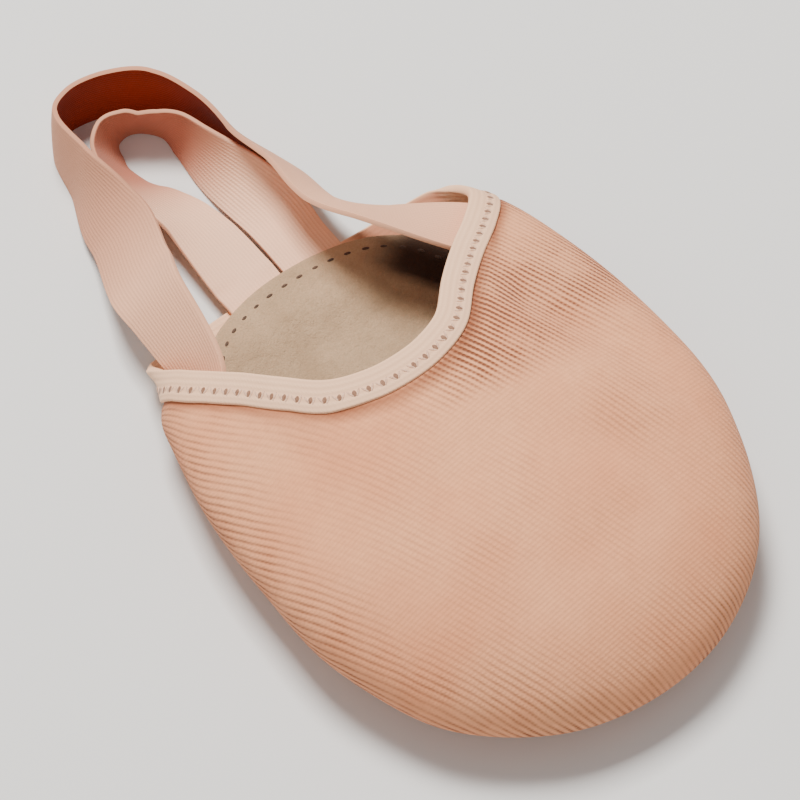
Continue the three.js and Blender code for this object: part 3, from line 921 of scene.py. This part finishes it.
@dataclass
class Binding:
    """The folded elastic tape round the collar, with its zigzag seam."""

    form: HoodForm
    finishes: Finishes
    thickness: float = 1.9
    columns: int = 300
    profile_rows: int = 20
    zigzag_pitch: float = 2.6
    zigzag_low: float = 1.2
    zigzag_high: float = 3.1
    corner: tuple[float, float, float] = (13.0, 22.0, 28.0)

    def section(self, share: float) -> tuple[float, float]:
        """Place across the tape and height off the wall's middle, round the folded section."""
        turn = 2 * math.pi * share
        across = 0.5 - 0.5 * math.copysign(abs(math.cos(turn)) ** 0.42, math.cos(turn))
        out = math.copysign(abs(math.sin(turn)) ** 0.34, math.sin(turn))
        puff = 1.0 - 0.12 * hill((across - 0.5) * 6.0, 1.3)
        return across * self.form.binding_width, out * puff * self.thickness / 2

    def seat(self, station: float, across: float, out: float) -> tuple[Vector, Vector, Vector]:
        """Point, normal and direction on the tape, at a width from the hood's side of it."""
        distance = self.form.inside_edge(station, self.form.binding_width - across)
        point, normal, along, around = self.form.surface(station, distance)
        return point + normal * (out - self.form.wall / 2), normal, around

    def point(self, around: float, share: float) -> Vector:
        """Point of the tape's skin."""
        return self.seat(2 * LAST * around, *self.section(share))[0]

    def round_table(self) -> list[tuple[float, float]]:
        """Stations and the length run round the collar to each, in millimetres."""
        table = [(0.0, 0.0)]
        before = self.seat(0.0, self.form.binding_width / 2, 0.0)[0]
        steps = 600
        for i in range(1, steps + 1):
            station = 2 * LAST * i / steps
            after = self.seat(station, self.form.binding_width / 2, 0.0)[0]
            table.append((station, table[-1][1] + (after - before).length))
            before = after
        return table

    @staticmethod
    def look_up(table: Sequence[tuple[float, float]], wanted: float, reverse: bool = False) -> float:
        """Value of the table at a wanted place, read either way."""
        key, value = (0, 1) if reverse else (1, 0)
        for low, high in zip(table, table[1:]):
            if low[key] <= wanted <= high[key]:
                share = (wanted - low[key]) / max(high[key] - low[key], 1e-9)
                return low[value] + share * (high[value] - low[value])
        return table[-1][value]

    def zigzag(self, table: Sequence[tuple[float, float]]) -> Piece:
        """Sews the zigzag seam on the outer face."""
        total = table[-1][1]
        count = round(total / (self.zigzag_pitch / 2))
        corners = []
        for i in range(count + 1):
            station = self.look_up(table, total * i / count)
            across = self.zigzag_low if i % 2 else self.zigzag_high
            corners.append(self.seat(station, across, self.thickness / 2 - 0.06))
        seats = []
        for start, end in zip(corners, corners[1:]):
            seats.append(((start[0] + end[0]) / 2, end[0] - start[0], (start[1] + end[1]).normalized()))
        stitch = Stitch(length=2.3, width=0.46, height=0.3)
        seam = stitch.sew("binding_zigzag", seats)
        Workbench.dress(seam, None, "binding_elastic", self.finishes.tape_thread)
        wedges = []
        for i in range(1, count, 2):
            station = self.look_up(table, total * i / count)
            point, normal, around = self.seat(station, self.zigzag_low + 0.95, self.thickness / 2 - 0.02)
            wedges.append((point, normal.cross(around), normal))
        marks = Stitch(length=1.35, width=0.85, height=0.12).sew("binding_zigzag_shadows", wedges)
        Workbench.dress(marks, None, "binding_elastic", self.finishes.seam_shade)
        return seam

    def corner_shade(self, place: Vector, normal: Vector) -> float:
        """Painted shade on the tape: low down in the lateral rear corner."""
        inside = (1 - smooth(place.z, 8.0, 11.0)) * (1 - smooth(normal.y, 0.2, 0.6))
        side, front, back = self.corner
        return 0.9 * inside * smooth(place.x, side, side + 5.0) * smooth(place.y, front, back)

    def build(self) -> Piece:
        """Models the tape and its seam."""
        table = self.round_table()
        tape = Workbench.lay_grid(
            "collar_tape",
            self.columns,
            self.profile_rows,
            self.point,
            lambda around, share: (self.look_up(table, 2 * LAST * around, True), self.section(share)[0]),
            Rolled.TUBE,
        )
        Workbench.outward_normals(tape)
        Workbench.rest(tape)
        Workbench.weigh(tape, "painted_shade", self.corner_shade)
        Workbench.dress(tape, "collar_binding", "binding_elastic", self.finishes.tape)
        self.zigzag(table)
        return tape


@dataclass
class SolePad:
    """The suede pad under the ball of the foot, with its stitched rim."""

    form: HoodForm
    finishes: Finishes
    thickness: float = 1.95
    seam_inset: float = 2.2
    columns: int = 180
    stitch_length: float = 2.6
    stitch_gap: float = 1.3
    profile: tuple[tuple[float, float], ...] = (
        (26.0, 0.0), (18.0, 0.0), (12.0, 0.0), (8.0, 0.0), (6.0, 0.0), (4.6, 0.01), (3.7, 0.06), (3.2, 0.16),
        (2.9, 0.3), (2.6, 0.42), (2.2, 0.5), (1.8, 0.42), (1.3, 0.38), (0.8, 0.38), (0.4, 0.42), (0.12, 0.55),
        (0.0, 0.8), (0.0, 1.4), (0.1, 1.75), (0.4, 1.93), (1.5, 1.95), (4.0, 1.95), (26.0, 1.95),
    )

    def outline(self, share: float, inset: float) -> Vector:
        """Point of the pad's outline, at a distance inside its edge."""
        point = self.form.pad_point(2 * LAST * share)
        reach = point.length
        return point * (max(reach - inset, 0.0) / reach)

    def point(self, around: float, share: float) -> Vector:
        """Point of the pad's skin, from the middle below round the edge to the middle above."""
        last = len(self.profile) + 1
        row = round(share * last)
        if row in (0, last):
            return Vector((0.0, 0.0, 0.0 if row == 0 else self.thickness))
        inset, height = self.profile[row - 1]
        point = self.outline(around, inset)
        ripple = noise.noise(point * 0.16) * 0.35 * hill(inset, 2.6)
        point = self.outline(around, inset + ripple * (0.0 < share < 0.9))
        point.z = height
        return point

    def stitches(self) -> Piece:
        """Sews the running stitch in the rim."""
        steps = 720
        ring = [self.outline(i / steps, self.seam_inset) for i in range(steps + 1)]
        lengths = [0.0]
        for before, after in zip(ring, ring[1:]):
            lengths.append(lengths[-1] + (after - before).length)
        count = round(lengths[-1] / (self.stitch_length + self.stitch_gap))
        seats = []
        for i in range(count):
            wanted = lengths[-1] * (i + 0.5) / count
            k = next(j for j, value in enumerate(lengths) if value >= wanted)
            place = ring[k].copy()
            place.z = 0.44
            seats.append((place, ring[k] - ring[k - 1], -UP))
        seam = Stitch(self.stitch_length, 0.62, 0.36).sew("sole_running_stitch", seats)
        Workbench.dress(seam, None, "pad_suede", self.finishes.pale_thread)
        return seam

    def build(self) -> Piece:
        """Models the pad and its seam."""
        rows = len(self.profile) + 1
        pad = Workbench.lay_grid(
            "sole_suede_pad", self.columns, rows, self.point, plain_chart, Rolled.TUBE
        )
        Workbench.outward_normals(pad)
        Workbench.rest(pad)
        Workbench.dress(pad, "sole_pad", "pad_suede", self.finishes.sole)
        self.stitches()
        return pad


@dataclass
class Lining:
    """The suede sock lining, sewn down along its rear edge over the strap ends."""

    form: HoodForm
    finishes: Finishes
    thickness: float = 1.0
    rise: float = 1.75
    lift_start: float = 2.0
    lift_length: float = 10.0
    edge_margin: float = 0.5
    columns: int = 160
    rows: int = 34
    seam_inset: float = 2.6
    seam_pitch: float = 3.3
    seam_span: tuple[float, float] = (6.6, 13.4)
    corner: tuple[float, float] = (12.8, 35.0)
    corner_angle: float = 36.0

    def reach(self, station: float) -> float:
        """How far the lining goes past the seam along the wall."""
        curve = self.form.curve(station)
        return min(self.form.seam_overlap + curve.lining, curve.length - self.edge_margin)

    def lift(self, point: Vector) -> float:
        """Height that the lining rises over the strap ends."""
        forward = self.form.pad_rear + self.form.pad_length / 2 - point.y - self.form.binding_width
        return self.rise * (1 - smooth(forward, self.lift_start, self.lift_start + self.lift_length))

    def seat(self, station: float, distance: float) -> tuple[Vector, Vector]:
        """Point and upward normal of the lining's top; a distance below 0 is on the flat middle."""
        mouth = self.form.curve(station).mouth
        if distance <= 0:
            share = max(1 + distance / Vector((mouth.x, mouth.y)).length, 0.0)
            point, normal = Vector((mouth.x * share, mouth.y * share, mouth.z)), UP.copy()
        else:
            point, outward, _, _ = self.form.surface(station, distance)
            blend = smooth(distance, 0.0, 3.0)
            normal = (UP * (1 - blend) - outward * blend).normalized()
        lifted = self.lift(point)
        point = point + normal * (self.form.wall + self.form.clearance + self.thickness)
        point.z += lifted
        return point, normal

    def point(self, around: float, share: float) -> Vector:
        """Point of the lining's top face."""
        station = 2 * LAST * around
        flat_share = 0.55
        if share <= flat_share:
            mouth = self.form.curve(station).mouth
            run = Vector((mouth.x, mouth.y)).length
            point, normal = self.seat(station, -run * (1 - share / flat_share))
        else:
            reach = self.reach(station)
            point, normal = self.seat(station, reach * (share - flat_share) / (1 - flat_share))
        ripple = noise.noise(point * 0.11) * 0.3 + noise.noise(point * 0.3) * 0.1
        return point + normal * ripple

    def stitches(self) -> Piece:
        """Sews the dark stitches along the rear edge."""
        steps = 400
        start, end = self.seam_span
        ring = []
        for i in range(steps + 1):
            station = start + (end - start) * i / steps
            point, normal = self.seat(station, self.reach(station) - self.seam_inset)
            ring.append((point + normal * (noise.noise(point * 0.11) * 0.3), normal))
        seats = []
        run = 0.0
        for before, after in zip(ring, ring[1:]):
            run += (after[0] - before[0]).length
            if run >= self.seam_pitch:
                run = 0.0
                seats.append((after[0] + after[1] * 0.02, after[0] - before[0], after[1]))
        seam = Stitch(1.7, 0.6, 0.3).sew("lining_stitches", seats)
        Workbench.dress(seam, None, "lining_suede", self.finishes.dark_thread)
        return seam

    def corner_shade(self, place: Vector, normal: Vector) -> float:
        """Painted shade on the suede: dark in the lateral rear corner, where the hood closes over it."""
        x, y = place.x - self.corner[0], place.y - self.corner[1]
        angle = math.radians(self.corner_angle)
        out = x * math.cos(angle) + y * math.sin(angle)
        along = x * math.sin(angle) - y * math.cos(angle)
        return 0.95 * smooth(out, -0.5, 2.5) * smooth(along, -4.0, 6.0)

    def build(self) -> Piece:
        """Models the lining and its seam."""
        lining = Workbench.lay_grid(
            "suede_lining",
            self.columns,
            self.rows,
            self.point,
            plain_chart,
            Rolled.RING,
        )
        Workbench.face_towards(lining, lambda centre: UP)
        Workbench.apply(lining, "SOLIDIFY", thickness=self.thickness * MM, offset=-1.0)
        Workbench.round_edges(lining, 0.25)
        Workbench.rest(lining)
        Workbench.weigh(lining, "painted_shade", self.corner_shade)
        Workbench.dress(lining, "insole", "lining_suede", self.finishes.lining)
        self.stitches()
        return lining


@dataclass(frozen=True)
class Row:
    """One row of a tape: place of its middle and which way its upper edge points."""

    place: Vector
    across: Optional[Vector] = None
    lean: float = 0.0
    height: Optional[float] = None


class Spline:
    """Centripetal Catmull-Rom curve through points."""

    def __init__(self, points: Sequence[Vector]) -> None:
        """Keeps the points."""
        self.points = list(points)

    def at(self, share: float) -> Vector:
        """Point at a share from 0 to 1, even in the number of points."""
        pts = self.points
        last = len(pts) - 1
        place = min(max(share, 0.0), 1.0) * last
        k = min(int(place), last - 1)
        t = place - k
        p1, p2 = pts[k], pts[k + 1]
        p0 = pts[k - 1] if k > 0 else p1 * 2 - pts[1]
        p3 = pts[k + 2] if k + 2 <= last else p2 * 2 - pts[last - 1]
        d0, d1, d2 = ((b - a).length ** 0.5 for a, b in ((p0, p1), (p1, p2), (p2, p3)))
        d1 = d1 if d1 > 1e-2 else 1.0
        d0 = d0 if d0 > 1e-2 else d1
        d2 = d2 if d2 > 1e-2 else d1
        m1 = ((p1 - p0) / d0 - (p2 - p0) / (d0 + d1) + (p2 - p1) / d1) * d1
        m2 = ((p2 - p1) / d1 - (p3 - p1) / (d1 + d2) + (p3 - p2) / d2) * d1
        a = p1 * -3 + p2 * 3 - m1 * 2 - m2
        b = p1 * 2 - p2 * 2 + m1 + m2
        return p1 + m1 * t + a * t * t + b * t * t * t

    def tangent(self, share: float) -> Vector:
        """Direction at a share."""
        step = 1e-4
        return (self.at(share + step) - self.at(share - step)).normalized()


@dataclass
class Strap:
    """A loop of flat elastic on edge."""

    name: str
    node: str
    rows: list[Row]
    width: float
    finishes: Finishes
    shade: tuple[float, float, float]
    thickness: float = 1.0
    along: int = 220
    over: int = 14

    def __post_init__(self) -> None:
        """Lets the rows without a height stand on the floor and prepares the curves."""
        placed = []
        for row in self.rows:
            place = row.place.copy()
            if row.across is None:
                lean = math.radians(row.lean)
                resting = (self.width * math.cos(lean) + self.thickness * abs(math.sin(lean))) / 2
                place.z = resting if row.height is None else row.height
            placed.append(place)
        self.middle = Spline(placed)
        edges = []
        for i, row in enumerate(self.rows):
            if row.across is not None:
                edges.append(row.across)
                continue
            lean = math.radians(row.lean)
            outward = self.middle.tangent(i / (len(placed) - 1)).cross(UP).normalized()
            edges.append(UP * math.cos(lean) + outward * math.sin(lean))
        self.edge = Spline(edges)
        self.runs = [0.0]
        for i in range(self.along):
            step = self.middle.at((i + 1) / self.along) - self.middle.at(i / self.along)
            self.runs.append(self.runs[-1] + step.length)

    def frame_at(self, share: float) -> tuple[Vector, Vector, Vector]:
        """Middle, side and outward direction of the tape."""
        centre = self.middle.at(share)
        along = self.middle.tangent(share)
        side = self.edge.at(share)
        side = (side - along * side.dot(along)).normalized()
        out = along.cross(side)
        lowest = min(
            (centre + side * (w * self.width / 2) + out * (h * self.thickness / 2)).z
            for w in (-1, 1) for h in (-1, 1)
        )
        centre = centre.copy()
        centre.z -= min(lowest, 0.0)
        return centre, side, out

    def point(self, share: float, over: float) -> Vector:
        """Point of the tape's middle layer."""
        centre, side, out = self.frame_at(share)
        across = (over - 0.5) * self.width
        cup = 0.35 * (1 - (2 * over - 1) ** 2) * smooth(share, 0.08, 0.2) * (1 - smooth(share, 0.8, 0.92))
        wave = 0.12 * noise.noise(Vector((share * 14.0, over * 2.0, 0.0)))
        return centre + side * across + out * (cup + wave - 0.15)

    def build(self) -> Piece:
        """Models the loop."""
        piece = Workbench.lay_grid(
            self.name,
            self.along,
            self.over,
            self.point,
            lambda share, over: (self.runs[round(share * self.along)], over * self.width),
        )
        # The inner face takes the copy of the strap elastic with painted light and painted shade.
        slots = (self.finishes.strap, self.finishes.strap_back_painted_light_and_shade)
        for finish in slots:
            piece.data.materials.append(finish)
        Workbench.face_towards(piece, lambda centre: Vector((centre.x, centre.y - 0.06, 0.0)))
        Workbench.apply(
            piece,
            "SOLIDIFY",
            thickness=(self.thickness - 0.1) * MM,
            offset=0.0,
            material_offset=1,
            use_even_offset=True,
        )
        Workbench.round_edges(piece, 0.22)
        Workbench.rest(piece)
        # Painted shade: the weight grows towards the back of the loop, where the loop's inside lies in shade.
        start, end, most = self.shade
        Workbench.weigh(piece, "painted_shade", lambda place, normal: most * smooth(place.y, start, end))
        Workbench.dress(piece, self.node, "strap_elastic", *slots)
        return piece


@dataclass
class HeelLoops:
    """The two nested elastic loops behind the shoe."""

    form: HoodForm
    finishes: Finishes
    upper_width: float = 14.5
    upper_reach: float = 50.0
    upper_spread: float = 34.0
    lower_width: float = 12.5
    lower_reach: float = 43.5
    tuck: float = 5.0
    tuck_base: float = 3.85
    lateral_end: tuple[float, float] = (5.2, 1.8)
    medial_end: tuple[float, float] = (2 * LAST - 6.1, 2.7)
    binding_thickness: float = 1.9
    strap_thickness: float = 1.0
    upper_rows: tuple[LoopRow, ...] = (
        (-0.12, 0.47, 1.3, -45), (0.1, 0.37, 0.9, -38), (0.34, 0.37, 0.66, -32),
        (0.54, 0.31, None, -22), (0.74, 0.23, None, -8), (0.9, 0.1, None, 0),
        (1, -0.12, None, 0), (1.02, -0.36, None, 0), (0.96, -0.5, None, 0), (0.76, -0.54, None, -12),
        (0.56, -0.575, 0.52, -40), (0.44, -0.595, 0.585, -50),
        (0.26, -0.69, 0.72, -52), (0.07, -0.785, 1.12, -41),
    )
    lower_rows: tuple[LoopRow, ...] = (
        (0.1, 1, 0.345, 90), (0.28, 1.04, 0.35, 72), (0.44, 0.87, 0.39, 52), (0.57, 0.65, 0.44, 34),
        (0.69, 0.48, None, 18), (0.81, 0.35, None, 5), (0.9, 0.1, None, -12), (0.965, -0.42, None, -17),
        (0.985, -0.96, None, -4), (0.96, -1.4, None, 19), (0.905, -1.7, None, 31), (0.83, -1.8, None, 37),
        (0.74, -1.72, 0.39, 43), (0.64, -1.54, 0.42, 52), (0.55, -1.3, 0.4, 60), (0.45, -1.08, 0.37, 68),
        (0.33, -1, 0.35, 78), (0.1, -1, 0.345, 90),
    )

    def collar_end(self, end: tuple[float, float], depth: float, sign: float) -> Row:
        """End of the upper loop, sewn in at a station and standing a little off the curved collar."""
        form, (station, off) = self.form, end
        point, normal, _, around = form.surface(station, form.curve(station).length - depth)
        inside = (form.wall + self.binding_thickness + self.strap_thickness) / 2 + off
        return Row(point - normal * inside, around * sign)

    def loop_rows(
        self, table: Iterable[LoopRow], reach: float, spread: float, width: float
    ) -> list[Row]:
        """Rows of a loop from its table of shares."""
        rows = []
        for back, side, height, lean in table:
            place = self.form.plan_point(-back * reach, side * spread)
            rows.append(Row(place, None, lean, None if height is None else height * width))
        return rows

    def upper(self) -> Strap:
        """The loop from corner to corner of the collar."""
        rows = [
            self.collar_end(self.lateral_end, self.tuck, -1.0),
            self.collar_end(self.lateral_end, 0.0, -1.0),
            *self.loop_rows(self.upper_rows, self.upper_reach, self.upper_spread, self.upper_width),
            self.collar_end(self.medial_end, 0.0, 1.0),
            self.collar_end(self.medial_end, self.tuck, 1.0),
        ]
        shade = (50.0, 76.0, 1.0)
        return Strap("upper_heel_loop", "heel_loop_upper", rows, self.upper_width, self.finishes, shade)

    def lower(self) -> Strap:
        """The loop sewn under the lining's rear edge."""
        end_side = self.lower_width / 2 + self.form.clearance
        height = self.tuck_base + self.strap_thickness / 2
        ends = [Row(self.form.plan_point(f, s * end_side), None, 90.0, height) for f, s in
                ((self.tuck, 1), (0, 1), (0, -1), (self.tuck, -1))]
        loop = self.loop_rows(self.lower_rows, self.lower_reach, end_side, self.lower_width)
        rows = [*ends[:2], *loop, *ends[2:]]
        shade = (64.0, 80.0, 0.72)
        return Strap("lower_heel_loop", "heel_loop_lower", rows, self.lower_width, self.finishes, shade)

    def build(self) -> list[Piece]:
        """Models both loops."""
        return [self.upper().build(), self.lower().build()]


# Studio


@dataclass(frozen=True)
class Lamp:
    """One soft square light: its place and size in metres, its watts and its colour."""

    place: tuple[float, float, float]
    size: float
    power: float
    colour: Colour


@dataclass
class Studio:
    """Floor, lights and the camera at the photographed angle."""

    azimuth: float = -36.0
    elevation: float = 60.0
    camera_place: tuple[float, float, float] = (-0.3665, -0.4123, 0.9382)
    aim: tuple[float, float] = (0.04512, 0.01504)
    lens: float = 269.0
    target: tuple[float, float, float] = (0.0, 0.01, 0.01)
    key: Lamp = Lamp((0.06, 0.54, 1.22), 0.45, 31.0, (1.0, 0.97, 0.93))
    fill: Lamp = Lamp((-0.8, -0.6, 0.9), 1.0, 3.0, (1.0, 0.95, 0.9))
    room_colour: Colour = (1.0, 0.98, 0.97)
    room_strength: float = 0.38

    def directions(self) -> tuple[Vector, Vector, Vector]:
        """Right, up and back of the photographed view."""
        a, e = math.radians(self.azimuth), math.radians(self.elevation)
        back = Vector((math.sin(a) * math.cos(e), -math.cos(a) * math.cos(e), math.sin(e)))
        right = Vector((math.cos(a), math.sin(a), 0.0))
        return right, back.cross(right), back

    def camera(self) -> None:
        """Places the camera."""
        right, up, back = self.directions()
        Workbench.clear_selection()
        bpy.ops.object.camera_add(location=self.camera_place)
        camera = bpy.context.object
        camera.name = "photo_camera"
        look = (-back + right * self.aim[0] + up * self.aim[1]).normalized()
        across = (right - look * right.dot(look)).normalized()
        turn = Matrix((across, across.cross(look), -look)).transposed()
        camera.rotation_mode = "QUATERNION"
        camera.rotation_quaternion = turn.to_quaternion()
        camera.data.lens = self.lens
        camera.data.sensor_width = 36.0
        camera.data.clip_start, camera.data.clip_end = 0.01, 20.0
        bpy.context.scene.camera = camera

    def floor(self) -> None:
        """Lays the floor."""
        Workbench.clear_selection()
        bpy.ops.mesh.primitive_grid_add(x_subdivisions=8, y_subdivisions=8, size=6.0)
        floor = bpy.context.object
        floor.name = "studio_floor"
        floor.data.materials.append(PaleFloor().make())

    @staticmethod
    def light(name: str, lamp: Lamp, target: Vector) -> None:
        """Adds a soft square light that looks at a target."""
        Workbench.clear_selection()
        place = Vector(lamp.place)
        bpy.ops.object.light_add(type="AREA", location=place)
        made = bpy.context.object
        made.name = name
        made.data.size = lamp.size
        made.data.energy = lamp.power
        made.data.color = lamp.colour
        made.rotation_mode = "QUATERNION"
        made.rotation_quaternion = (target - place).to_track_quat("-Z", "Y")

    def lights(self) -> None:
        """Sets the soft key from behind, a fill from the medial front and the room's light."""
        target = Vector(self.target)
        self.light("key", self.key, target)
        self.light("fill", self.fill, target)
        world = bpy.context.scene.world or bpy.data.worlds.new("room")
        bpy.context.scene.world = world
        world.use_nodes = True
        room = world.node_tree.nodes.get("Background") or world.node_tree.nodes.new("ShaderNodeBackground")
        room.inputs[0].default_value = (*self.room_colour, 1.0)
        room.inputs[1].default_value = self.room_strength

    def build(self) -> None:
        """Sets up the studio."""
        self.camera()
        self.floor()
        self.lights()


def main() -> None:
    """Builds the studio and the dressed shoe."""
    logging.basicConfig(level=logging.INFO, format="%(message)s")
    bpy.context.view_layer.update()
    Studio().build()
    form, finishes = HoodForm(), Finishes()
    for maker in (Hood, Binding, SolePad, Lining, HeelLoops):
        made = maker(form, finishes).build()
        for piece in made if isinstance(made, list) else [made]:
            log.info("%s: %d faces", piece.name, len(piece.data.polygons))


if __name__ == "__main__":
    main()
